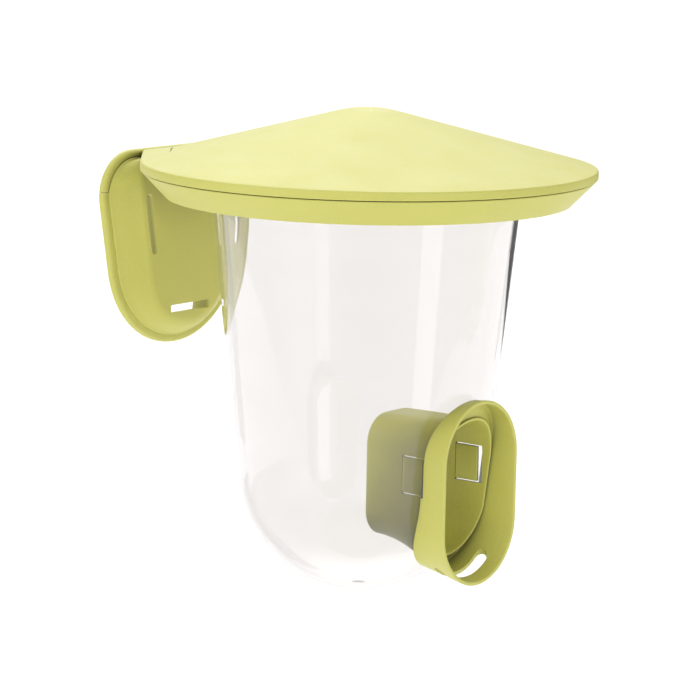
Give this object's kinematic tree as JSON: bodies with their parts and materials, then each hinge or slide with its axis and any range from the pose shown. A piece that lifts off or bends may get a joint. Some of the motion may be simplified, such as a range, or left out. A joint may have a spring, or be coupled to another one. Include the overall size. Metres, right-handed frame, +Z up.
{
  "type": "gravity poultry feeder",
  "caption": "Wall-hung gravity feeder: a clear round-bottomed hopper under a conical lift-off roof, with a hooded feeding port and a strap-on wall bracket.",
  "frame": {"origin": "on the wall plane, at the middle of the bracket flange's width at its lowest point, on the plane of symmetry", "axes": "+Z up, +Y into the wall, +X to the right for someone facing the feeder; the feeding port opens towards -Y"},
  "size_m": [0.2986, 0.321, 0.3218],
  "materials": {
    "green_plastic": "fine matte moulded",
    "clear_plastic": "clear, smooth"
  },
  "bodies": {
    "bracket": {"wall_bracket": "green_plastic"},
    "feeder": {"support_collar": "green_plastic", "hopper": "clear_plastic"},
    "roof": {"roof_lid": "green_plastic"},
    "port": {"port_insert": "green_plastic"},
    "tongue_left": {"port_tongue_left": "green_plastic"},
    "tongue_right": {"port_tongue_right": "green_plastic"}
  },
  "joints": [
    {"name": "feeder_unhook", "type": "slide", "parent": "bracket", "child": "feeder", "axis": [0, 0, 1], "range_m": [0, 0.0055]},
    {"name": "roof_lift", "type": "slide", "parent": "feeder", "child": "roof", "axis": [0, 0, 1], "range_m": [0, 0.12]},
    {"name": "port_pull", "type": "slide", "parent": "feeder", "child": "port", "axis": [0, -1, 0], "range_m": [0, 0.07]},
    {"name": "tongue_left_flex", "type": "hinge", "parent": "port", "child": "tongue_left", "pos_m": [-0.0287, -0.2273, -0.0588], "axis": [0, 0, 1], "range_deg": [0, 8]},
    {"name": "tongue_right_flex", "type": "hinge", "parent": "port", "child": "tongue_right", "pos_m": [0.0287, -0.2273, -0.0588], "axis": [0, 0, -1], "range_deg": [0, 8]}
  ]
}
